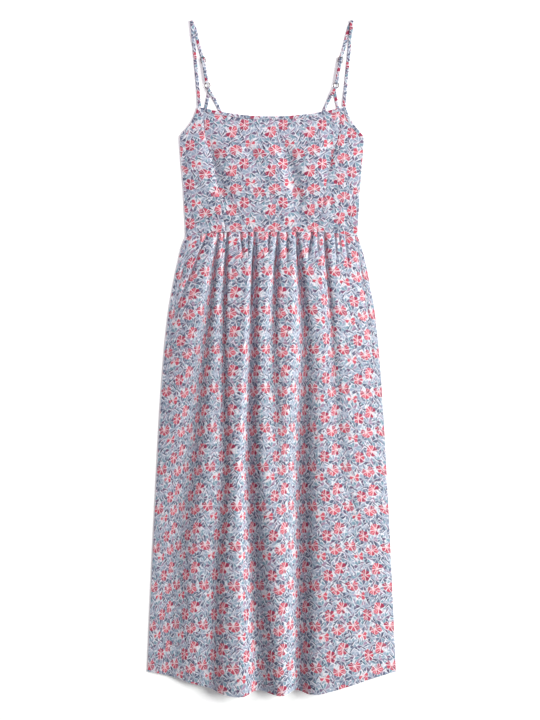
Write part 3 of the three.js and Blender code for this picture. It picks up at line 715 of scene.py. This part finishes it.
# %% Front bodice
PANEL_ROWS, CENTRE_COLUMNS, SIDE_COLUMNS = 100, 110, 44
CENTRE_PRINT, SIDE_PRINTS = (3.0, 12.0), {"left": (31.0, 50.0), "right": (20.0, 27.0)}
SIDES = {"left": -1, "right": 1}
up = np.linspace(0, 1, PANEL_ROWS)[:, None]
seam = princess_seam(lerp(WAIST_Y, neckline(NECK_HALF), up))
x = (seam - SEAM_GAP / 2) * np.linspace(-1, 1, CENTRE_COLUMNS)[None, :]
y = lerp(waist_seam(x), neckline(x), up)
front_panels = [bodice_panel("front_bodice_centre_cloth", x, y, CENTRE_PRINT)]

out = np.linspace(0, 1, SIDE_COLUMNS)[None, :]
inner_x = seam + SEAM_GAP / 2
inner_y = lerp(waist_seam(inner_x), neckline(inner_x), up)
outer_y = lerp(waist_seam(WAIST_HALF), CORNER_Y, up)
outer_x = bodice_half(outer_y)
x = lerp(inner_x, outer_x, out)
bow = waist_seam(x) - lerp(waist_seam(inner_x), waist_seam(outer_x), out)
y = lerp(inner_y, outer_y, out) + bow * (1 - up) ** 2
for name, side in SIDES.items():
    front_panels.append(bodice_panel(f"front_bodice_{name}_cloth", side * x, y, SIDE_PRINTS[name]))
print("front bodice panels:", [p.name for p in front_panels])

# %% [markdown]
# The back bodice is hidden, so it is plain: a side seam, an armhole, and a top edge that stays below the
# front's neckline.

# %% Back bodice
BACK_CORNER = (128.0, 450.0)
SIDE_SHARE = 2 / 3  # of the rows, up to the underarm
BACK_ROWS, BACK_COLUMNS, BACK_PRINT = 46, 90, (11.0, 5.0)
up = np.linspace(0, 1, BACK_ROWS)
start = np.array([bodice_half(UNDERARM_Y) - BACK_INSET, UNDERARM_Y - BACK_INSET])
bend = np.array([BACK_CORNER[0] + BACK_INSET, UNDERARM_Y])
t = np.clip((up - SIDE_SHARE) / (1 - SIDE_SHARE), 0, 1)[:, None]
armhole = start * (1 - t) ** 2 + 2 * bend * t * (1 - t) + np.array(BACK_CORNER) * t**2
side_y = lerp(waist_seam(WAIST_HALF), UNDERARM_Y - BACK_INSET, np.minimum(up / SIDE_SHARE, 1))
edge_x = np.where(up > SIDE_SHARE, armhole[:, 0], bodice_half(side_y) - BACK_INSET)
edge_y = np.where(up > SIDE_SHARE, armhole[:, 1], side_y)
q = np.linspace(-1, 1, BACK_COLUMNS)[None, :]
power = lerp(WAIST_POWER, 2, up)[:, None]
x = q * edge_x[:, None]
y = lerp(lerp(WAIST_Y, BACK_NECK_Y, up)[:, None], edge_y[:, None], np.abs(q) ** power)
under = np.stack([x, y, np.zeros_like(x)], -1)
cloth = np.stack([x + BACK_PRINT[0], y + BACK_PRINT[1]], -1)
back_bodice = shell("back_bodice_cloth", under + [0, 0, CLOTH], under, cloth)
print("back bodice:", len(back_bodice.data.polygons), "faces")

# %% [markdown]
# ## Bands along a route
# Bindings and straps are long bands. A band is a ring of section points carried along a route, closed at both
# ends. Its cloth runs along it, so the print follows the strap round its bends.


# %% Bands along a route
LINING_SIZE, LINING_SINK = 0.97, 0.3  # a band's inside against its outside


def tube_faces(index):
    """Faces of a ring of points carried along a route, with both ends filled; a ring has an even count."""
    ring = index.shape[1]
    faces = [grid_faces(np.concatenate([index, index[:, :1]], axis=1))]
    for end, turn in ((index[0], -1), (index[-1], 1)):
        low, high = end[: ring // 2], end[: ring // 2 - 1 : -1]
        cap = np.stack([low[:-1], low[1:], high[1:], high[:-1]], -1)
        faces.append(cap[:, ::turn])
    return np.concatenate(faces)


def band(name, sections, along, girth, offset):
    """A flat tube: sections is stations by ring points by three; along and girth give its flat cloth."""
    stations, ring = sections.shape[:2]
    middle = sections.mean(1, keepdims=True)
    lining = middle + LINING_SIZE * (lerp(sections, sections[:, ::-1], LINING_SINK) - middle)
    lining[0] += LINING_SINK * (lining[1] - lining[0])
    lining[-1] += LINING_SINK * (lining[-2] - lining[-1])
    count = stations * ring
    outside = tube_faces(np.arange(count).reshape(stations, ring))
    faces = np.concatenate([outside, outside[:, ::-1] + count])
    points = np.concatenate([sections.reshape(-1, 3), lining.reshape(-1, 3)])
    cloth = np.broadcast_arrays(girth + offset[0], along[:, None] + offset[1])
    cloth = np.stack(cloth, -1).reshape(-1, 2)
    return make_mesh(name, points, faces, np.tile(cloth, (2, 1)), np.repeat([0.0, 1.0], count))


def run_length(points):
    steps = np.linalg.norm(np.diff(points, axis=0), axis=1)
    return np.concatenate([[0], np.cumsum(steps)])


print("a band's inside is", LINING_SIZE, "of its outside")

# %% [markdown]
# ## The bindings
# A narrow folded strip finishes the neckline and the armholes. Its section lies on the panel, rounds over the
# edge and turns down past it.

# %% Bindings
BIND_WIDTH, BIND_THICK, BIND_GAP = 5.5, 0.7, 0.12
STITCH_AT = 0.72  # share of the width where the line of stitches runs
ARMHOLE_FROM, ARMHOLE_TO, NECK_END = 0.765, 0.995, 128.8
NECK_PRINT, ARMHOLE_PRINT = (63.0, 44.0), (63.0, 9.0)
# the section's points: shares of the width in from the edge, and lifts in thicknesses
TOP_SHARES = [(STITCH_AT, 0.55), (0.42, 1.3), (0.12, 1.3)]
LOW_SHARES = [1, 0.9, STITCH_AT, 0.42, 0.12]
# the way round the section to each point, in millimetres
BIND_GIRTH = [0, 0.6, 1.7, 3.4, 5.1, 6.4, 7.1, 7.6, 7.9, 8.3, 8.7, 9.3, 10.9, 12.6, 13.6, 14.1]
seams = {}


def binding(name, edge, offset):
    along = unit(np.gradient(edge, axis=0))
    out = np.stack([-along[:, 1], along[:, 0]], -1)

    def spot(away, lift):
        place = edge + away * out
        held = edge + min(away, -0.05) * out
        height = bodice_under(held[:, 0], held[:, 1]) + CLOTH + lift
        return np.concatenate([place, height[:, None]], axis=1)

    over = BIND_GAP + BIND_THICK
    tops = [(-BIND_WIDTH - 0.05, 0.3), (-BIND_WIDTH + 0.25, 0.95)]
    tops += [(-share * BIND_WIDTH, lift) for share, lift in TOP_SHARES]
    tops += [(0.55 * over, 0.8), (over, -0.3), (over, -1.0)]
    lows = [-share * BIND_WIDTH for share in LOW_SHARES] + [BIND_GAP]
    ring = [spot(away, BIND_GAP + lift * BIND_THICK) for away, lift in tops]
    ring += [spot(BIND_GAP, -CLOTH), spot(BIND_GAP, -0.3)]
    ring += [spot(away, BIND_GAP) for away in lows[::-1]]
    seams[name] = spot(-STITCH_AT * BIND_WIDTH, BIND_GAP + TOP_SHARES[0][1] * BIND_THICK + THREAD_LIFT)
    return band(name, np.stack(ring, axis=1), run_length(edge), np.array(BIND_GIRTH), offset)


x = np.linspace(-NECK_END, NECK_END, 150)
neck_edge = np.stack([x, neckline(x)], -1)
bindings = [binding("neckline_binding_cloth", neck_edge, NECK_PRINT)]
up = np.linspace(ARMHOLE_FROM, ARMHOLE_TO, 60)
y = lerp(waist_seam(WAIST_HALF), CORNER_Y, up)
armhole_edge = np.stack([bodice_half(y), y], -1)
for name, side in SIDES.items():
    edge = armhole_edge * [side, 1]
    edge = edge if side < 0 else edge[::-1]
    bindings.append(binding(f"armhole_binding_{name}_cloth", edge, ARMHOLE_PRINT))
print("bindings:", len(bindings))

# %% [markdown]
# ## The stitches
# One line of stitches holds each binding, and another the hem. A stitch is a short thread that tapers at both
# ends. All the stitches of a line are worked out at once as arrays and make one mesh.

# %% Stitches
STITCH_EVERY, STITCH_LONG, THREAD = 3.1, 2.4, 0.24
THREAD_SIDES = 6
# along the stitch, size and rise of each ring of points
TAPER = np.array([(-0.5, 0.35, -0.15), (-0.3, 1, 0), (0, 1, 0.1), (0.3, 1, 0), (0.5, 0.35, -0.15)])
STITCH_POINTS = len(TAPER) * THREAD_SIDES
STITCH_FACES = tube_faces(np.arange(STITCH_POINTS).reshape(-1, THREAD_SIDES))


def cotton_thread():
    material, shader, start = new_material("thread", {"Roughness": 0.8})
    place = start.node("ShaderNodeTexCoord", None, None, 3)
    twist = start.node("ShaderNodeTexWave", None, {"Vector": place, "Scale": 900.0, "Distortion": 2.0})
    colour = twist.mix("RGBA", linear(168, 168, 184), linear(206, 206, 216))
    colour.into(shader, "Base Color")
    return material


def stitch_line(name, path):
    run = run_length(path)
    at = np.arange(STITCH_EVERY, run[-1] - STITCH_EVERY, STITCH_EVERY)
    middle, beyond = (np.stack([np.interp(a, run, axis) for axis in path.T], -1) for a in (at, at + 0.5))
    ahead = unit(beyond - middle)
    wide = unit(np.cross(ahead, [0, 0, 1]))
    above = np.cross(wide, ahead)
    angle = np.arange(THREAD_SIDES) * math.tau / THREAD_SIDES
    along, size, rise = TAPER.T[:, :, None]
    shape = np.stack([
        along * STITCH_LONG + 0 * angle,
        THREAD * size * np.cos(angle),
        THREAD * (size * np.sin(angle) + rise),
    ], -1)
    axes = np.stack([ahead, wide, above], 1)
    points = (middle[:, None, None] + shape[None] @ axes[:, None]).reshape(-1, 3)
    faces = (STITCH_FACES[None] + STITCH_POINTS * np.arange(len(at))[:, None, None]).reshape(-1, 4)
    piece = make_mesh(name, points, faces, np.zeros((len(points), 2)), np.zeros(len(points)))
    piece.data.materials.append(thread)
    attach(piece, "root")
    return piece


thread = cotton_thread()
for name, seam in seams.items():
    stitch_line(name.replace("cloth", "stitches"), seam)
stitch_line("hem_stitches", hem_line)

# %% [markdown]
# ## The straps
# Each strap is one band. It rises from its corner of the front, folds over at the top, comes down through the
# slider, round the ring, and back up to the slider's middle bar. A second band goes through the ring, and its
# two legs are sewn to the back. The route is drawn for the left strap and mirrored for the right one.

# %% Strap routes
STRAP_WIDTH, LOOP_WIDTH, STRAP_THICK = 6.2, 5.8, 0.9
RING_AT, RING_Z, RING_RADIUS, RING_WIRE, RING_SEAT = (-119.0, 506.4), 2.2, 5.0, 0.8, 4.6
RING_TOP, RING_LOW, RING_STRAIGHT = RING_Z + 1.6, RING_Z - 1.6, 4.0  # a band over and under the wire
SLIDER_AT, SLIDER_Z, SLIDER_LEAN = (-127.2, 553.6), 2.2, 11.5
LAY, FOLD_TOP, TURN_STEPS = 0.55, 2.1, 8
# x, y, z, lean of the band's width in degrees
STRAP_FRONT_RUN = [
    (-133.4, 467.0, 2.0, 5.3), (-135.3, 488, 1.1, 5.3), (-137.9, 516, LAY, 5.3), (-140.8, 547, LAY, 5.3),
    (-143.4, 575, LAY, 5.3), (-145.1, 593, 2.0, 5.5), (-146.5, 608, FOLD_TOP, 6.5),
]
STRAP_FOLD = (-148.2, 625.6, 10.0)
STRAP_BACK_RUN = [
    (-143.8, 616, LAY, 15), (-139.2, 599, LAY, 15), (-134.2, 578, LAY, 14), (-130, 563.5, LAY, 13),
]
# along the strap from the slider's middle bar, z
OVER_SLIDER = [(5.0, LAY), (3.7, 0.7), (2.4, 2.1), (1.1, 3.4), (-0.2, 3.6), (-6, 3.6)]
STRAP_LEAN, LOOP_LEAN = 10.0, 18.0
STRAP_TAIL = (-8, 0.4)  # where the strap's end lies, from the slider's middle bar
LOOP_INNER_LEG = [
    (-91.3, 447.3, LAY, 24), (-95, 456, LAY, 24), (-100, 468, LAY, 24),
    (-105, 478.5, 1, 24), (-110, 488, 2.3, 23),
]
LOOP_OUTER_LEG = [
    (-116.6, 493, LAY, 4), (-118, 485, LAY, -8), (-121.2, 470, LAY, -13), (-125.4, 451.3, LAY, -13),
]


def along_from(centre, lean, distance, z):
    turn = math.radians(lean)
    return (centre[0] - math.sin(turn) * distance, centre[1] + math.cos(turn) * distance, z, lean)


def half_turn(x, y, lean, from_z, to_z, towards):
    angle = np.linspace(0, math.pi, TURN_STEPS + 1)
    reach = towards * abs(from_z - to_z) / 2 * np.sin(angle)
    z = (from_z + to_z) / 2 + (from_z - to_z) / 2 * np.cos(angle)
    return [along_from((x, y), lean, r, h) for r, h in zip(reach, z)]


def strap_route():
    above = along_from(RING_AT, STRAP_LEAN, RING_SEAT + RING_STRAIGHT, RING_TOP)
    seat = along_from(RING_AT, STRAP_LEAN, RING_SEAT, RING_TOP)
    return [
        *STRAP_FRONT_RUN,
        *half_turn(*STRAP_FOLD, FOLD_TOP, LAY, 1),
        *STRAP_BACK_RUN,
        *(along_from(SLIDER_AT, SLIDER_LEAN, a, z) for a, z in OVER_SLIDER),
        above,
        *half_turn(*seat[:2], STRAP_LEAN, RING_TOP, RING_LOW, -1),
        (*above[:2], RING_LOW, above[3]),
        *(along_from(SLIDER_AT, SLIDER_LEAN, a, LAY) for a in STRAP_TAIL),
    ]


def loop_route():
    below = along_from(RING_AT, LOOP_LEAN, -RING_SEAT - RING_STRAIGHT, RING_TOP)
    seat = along_from(RING_AT, LOOP_LEAN, -RING_SEAT, RING_TOP)
    turn = half_turn(*seat[:2], LOOP_LEAN, RING_TOP, RING_LOW, 1)
    return [*LOOP_INNER_LEG, below, *turn, (*below[:2], RING_LOW, below[3]), *LOOP_OUTER_LEG]


print("stations on a strap:", len(strap_route()), "and on a loop:", len(loop_route()))

# %% [markdown]
# A smooth curve through the stations is cut into short steps. At each step the flat section is set square to
# the route and leant as the table says. Near the ring it is drawn in, because cloth bunches up there.

# %% Straps
SECTION = [(-0.5, -0.2), (-0.46, -0.5), (-0.2, -0.5), (0.2, -0.5), (0.46, -0.5), (0.5, -0.2)]
SECTION += [(-a, -b) for a, b in SECTION]
STEP = 1.2  # millimetres between stations
RING_PINCH, RING_PINCH_REACH = 0.35, 7.0  # a band bunches up where it goes round the ring


def strap_band(name, route, side, width, offset):
    route = np.array(route) * [-side, 1, 1, -side]
    run = run_length(route[:, :3])
    even = np.unique(np.concatenate([run, np.arange(0, run[-1], STEP)]))
    dense = np.stack([curve_through(run, route[:, k])(even) for k in range(4)], -1)
    centre, turn = dense[:, :3], np.radians(dense[:, 3])
    wide = np.stack([np.cos(turn), np.sin(turn), np.zeros_like(turn)], -1)
    ahead = np.gradient(centre, axis=0)
    out = unit(np.cross(ahead, wide))
    from_ring = np.linalg.norm(centre[:, :2] - [-side * RING_AT[0], RING_AT[1]], axis=1)
    pinched = width * (1 - RING_PINCH * np.exp(-((from_ring / RING_PINCH_REACH) ** 2)))[:, None]
    ring = [centre + wide * a * pinched + out * b * STRAP_THICK for a, b in SECTION]
    girth = np.array([a * width if b < 0 else width - a * width for a, b in SECTION])
    print(name, "is", round(float(even[-1])), "mm long")
    return band(name, np.stack(ring, 1), even, girth, offset)


straps = []
for name, side in SIDES.items():
    strap_print, loop_print = (59.5 + side, 17.0 + 9 * side), (60.0, 40.0 + 11 * side)
    straps.append(strap_band(f"strap_{name}_cloth", strap_route(), side, STRAP_WIDTH, strap_print))
    straps.append(strap_band(f"strap_loop_{name}_cloth", loop_route(), side, LOOP_WIDTH, loop_print))
print("straps and loops:", [len(s.data.polygons) for s in straps])

# %% [markdown]
# ## Rings and sliders
# The strap hardware is small bright metal. A ring is a round wire. A slider is a flattened wire bent into a
# rounded frame, with a bar across its middle.


# %% Metal
def strap_metal():
    material, shader, start = new_material("strap_metal", {"Metallic": 1.0})
    place = start.node("ShaderNodeTexCoord", None, None, 3)
    grain = start.node("ShaderNodeTexNoise", None, {"Vector": place, "Scale": 900.0, "Detail": 2.0})
    wear = start.node("ShaderNodeTexNoise", None, {"Vector": place, "Scale": 160.0})
    colour = wear.ramp(0.35, 0.7).mix("RGBA", linear(116, 102, 102), linear(86, 74, 76))
    colour.into(shader, "Base Color")
    (grain * 0.2 + 0.2).into(shader, "Roughness")
    return material


UPWARDS = np.array([0.0, 0.0, 1.0])
WIRE_SIDES, RING_STEPS = 12, 48
SLIDER_WINDOW, SLIDER_ACROSS, SLIDER_BAR, SLIDER_ROUND, SLIDER_THICK = 3.4, 7.6, 1.2, 1.4, 1.0


def wire(points, wide, thick, closed):
    """Points and faces of a wire with an oval section, along a flat path."""
    angle = np.arange(WIRE_SIDES) * math.tau / WIRE_SIDES
    if closed:
        ahead = np.roll(points, -1, 0) - np.roll(points, 1, 0)
    else:
        ahead = np.gradient(points, axis=0)
    out = np.cross(unit(ahead), UPWARDS)
    ring = points[:, None] + out[:, None] * np.cos(angle)[None, :, None] * wide / 2
    ring = ring + UPWARDS * np.sin(angle)[None, :, None] * thick / 2
    index = np.arange(len(points) * WIRE_SIDES).reshape(-1, WIRE_SIDES)
    index = np.concatenate([index, index[:, :1]], 1)
    if closed:
        index = np.concatenate([index, index[:1]], 0)
    return ring.reshape(-1, 3), grid_faces(index)


def metal_piece(name, parts, turn, at):
    points, faces, count = [], [], 0
    for part_points, part_faces in parts:
        faces.append(facing_out(part_points, part_faces) + count)
        points.append(part_points)
        count += len(part_points)
    points, faces = np.concatenate(points), np.concatenate(faces)
    c, s = math.cos(math.radians(turn)), math.sin(math.radians(turn))
    spin = np.array([[c, -s, 0], [s, c, 0], [0, 0, 1]])
    return add_object(name, smooth_mesh(name, points @ spin.T + at, faces))


def slider_parts():
    wide, tall = SLIDER_ACROSS / 2 + SLIDER_BAR / 2, SLIDER_WINDOW + SLIDER_BAR
    corner = SLIDER_ROUND - SLIDER_BAR / 2
    quarter = np.linspace(0, math.pi / 2, 6)
    path = []
    for number, (sx, sy) in enumerate(((1, 1), (-1, 1), (-1, -1), (1, -1))):
        angle = quarter + number * math.pi / 2
        middle = np.array([sx * (wide - corner), sy * (tall - corner), 0])
        path.append(middle + corner * np.stack([np.cos(angle), np.sin(angle), 0 * angle], -1))
    bar = np.linspace([-wide, 0, 0], [wide, 0, 0], 8)
    section = (SLIDER_BAR, SLIDER_THICK)
    return [wire(np.concatenate(path), *section, True), wire(bar, *section, False)]


turns = np.arange(RING_STEPS) * math.tau / RING_STEPS
ring_path = RING_RADIUS * np.stack([np.cos(turns), np.sin(turns), 0 * turns], -1)
metal = strap_metal()
hardware = []
ring_parts = [wire(ring_path, 2 * RING_WIRE, 2 * RING_WIRE, True)]
for name, side in SIDES.items():
    ring_at = np.array([-side * RING_AT[0], RING_AT[1], RING_Z])
    slider_at = np.array([-side * SLIDER_AT[0], SLIDER_AT[1], SLIDER_Z])
    hardware.append(metal_piece(f"strap_ring_{name}_metal", ring_parts, 0, ring_at))
    hardware.append(metal_piece(f"strap_slider_{name}_metal", slider_parts(), -side * SLIDER_LEAN, slider_at))
print("metal pieces:", len(hardware))

# %% [markdown]
# ## The floor and the light
# A wide lamp low on the right, a little green, shades the left side of each fold. A small lamp beyond the
# straps and a faint studio, both a little violet, fill that shade, so it turns purple while the ridges stay
# neutral. The floor is pale and glows faintly, like a light table, so the shadow on it is thin.

# %% Floor and light
FLOOR_HALF, FLOOR_DROP, FLOOR_GLOW = 30.0, 0.0003, 0.22
STUDIO_COLOUR, STUDIO_STRENGTH = (1, 0.92, 1, 1), 0.1
floor_mesh = bpy.data.meshes.new("floor")
corners = [(x * FLOOR_HALF, y * FLOOR_HALF, 0) for x, y in ((-1, -1), (1, -1), (1, 1), (-1, 1))]
floor_mesh.from_pydata(corners, [], [(0, 1, 2, 3)])
floor = add_object("floor", floor_mesh)
floor.location.z = -FLOOR_DROP
glow = {"Roughness": 0.9, "Emission Color": (1, 1, 1, 1), "Emission Strength": FLOOR_GLOW}
floor_material, shader, start = new_material("pale_floor", glow)
place = start.node("ShaderNodeTexCoord", None, None, 3)
cloudy = start.node("ShaderNodeTexNoise", None, {"Vector": place, "Scale": 1.5})
pale = cloudy.ramp(0.3, 0.7).mix("RGBA", (0.97, 0.97, 0.97, 1), (0.99, 0.99, 0.99, 1))
pale.into(shader, "Base Color")
floor_mesh.materials.append(floor_material)


def lamp(name, at, size, power, colour):
    """A square lamp that faces the middle of the dress."""
    light = bpy.data.lights.new(name, "AREA")
    light.size = size
    light.energy = power
    light.color = colour
    holder = add_object(name, light)
    holder.location = at
    direction = unit(np.array(at))
    holder.rotation_euler = (math.acos(direction[2]), 0, math.atan2(direction[0], -direction[1]))


lamp("key", (5.6, 0.75, 3.65), 3.5, 738, (0.97, 1.0, 0.975))
lamp("top", (-0.7, 1.9, 1.4), 1.0, 20, (1.0, 0.89, 1.0))
world = bpy.data.worlds.new("studio")
world.use_nodes = True
background = world.node_tree.nodes["Background"]
background.inputs[0].default_value = STUDIO_COLOUR
background.inputs[1].default_value = STUDIO_STRENGTH
bpy.context.scene.world = world
print("two lamps and the studio round them")

# %% [markdown]
# ## Putting the dress together
# Each piece rides on the dress's one body, takes the place of its solid, and names its finish.

# %% Assembly
def put_in_place(piece, node, material):
    piece.data.materials.append(material)
    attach(piece, "root")
    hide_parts(node)


def cloth_piece(piece):
    put_in_place(piece, piece.name.removesuffix("_cloth"), cotton)


cloth_piece(front_skirt)
cloth_piece(back_skirt)
cloth_piece(back_bodice)
for piece in front_panels:
    cloth_piece(piece)
for piece in bindings:
    cloth_piece(piece)
for piece in straps:
    cloth_piece(piece)
for piece in hardware:
    put_in_place(piece, piece.name.removesuffix("_metal"), metal)
print("pieces of cloth:", 3 + len(front_panels + bindings + straps), "and of metal:", len(hardware))
